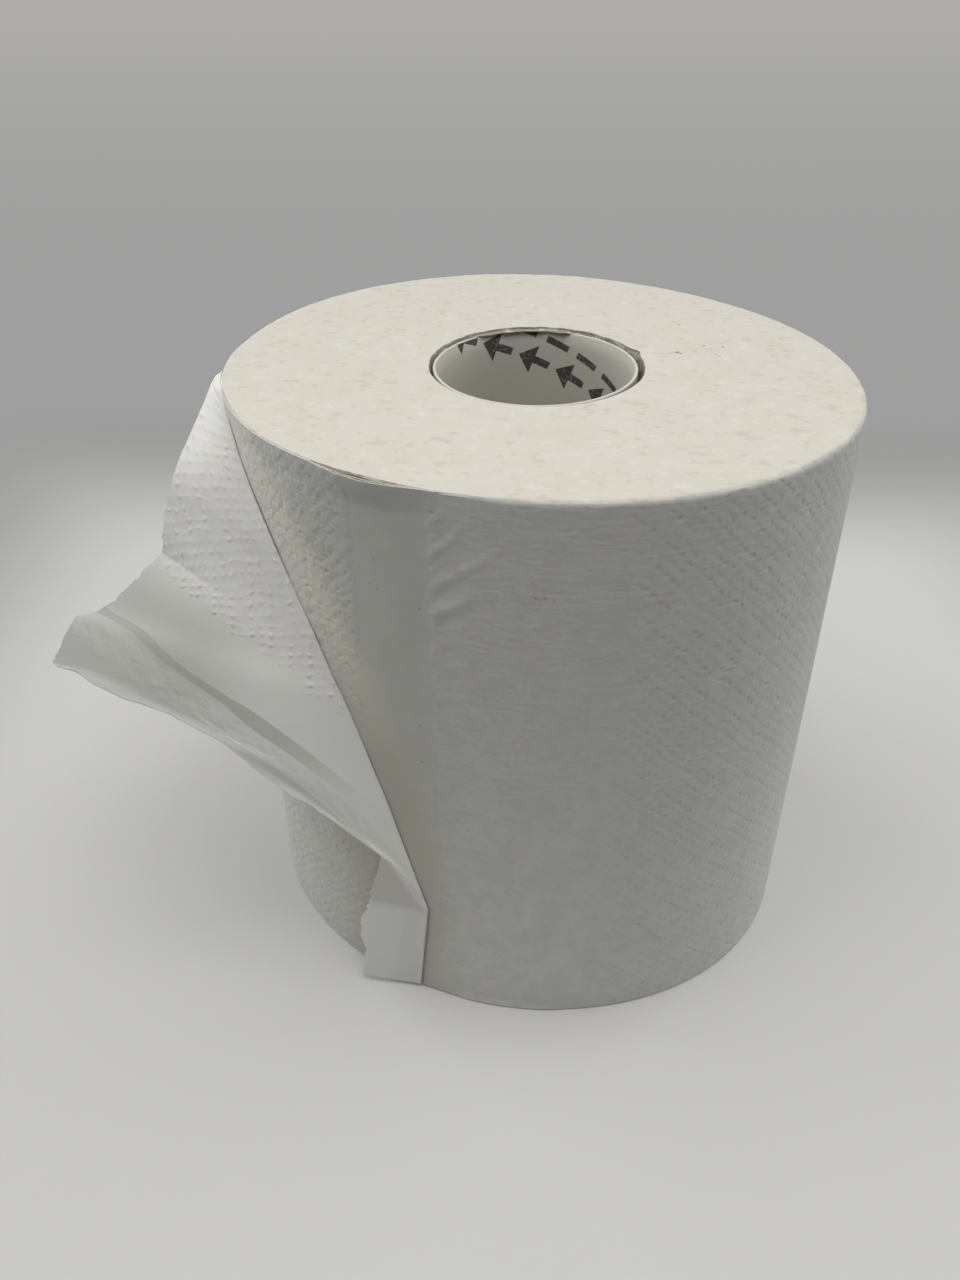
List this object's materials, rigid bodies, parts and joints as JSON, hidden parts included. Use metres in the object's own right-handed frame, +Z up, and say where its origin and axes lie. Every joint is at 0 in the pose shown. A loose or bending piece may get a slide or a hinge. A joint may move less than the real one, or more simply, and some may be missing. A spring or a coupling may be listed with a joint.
{
  "type": "centre-feed hand towel roll",
  "caption": "Round roll of embossed paper towel on a card core, standing on its end, with the loose tail of the web folded back and standing off one side.",
  "frame": {"origin": "on the axis of the core, on the surface that the roll stands on", "axes": "+Z up along the core; the tail of the web stands off the -X side and is seen from -Y"},
  "size_m": [0.2411, 0.1847, 0.198],
  "materials": {
    "paper": "soft embossed tissue, off-white, matt",
    "core_card": "plain grey-brown card with dark printed marks, matt"
  },
  "bodies": {
    "root": {"paper_roll": "paper", "core_tube": "core_card"}
  },
  "joints": []
}
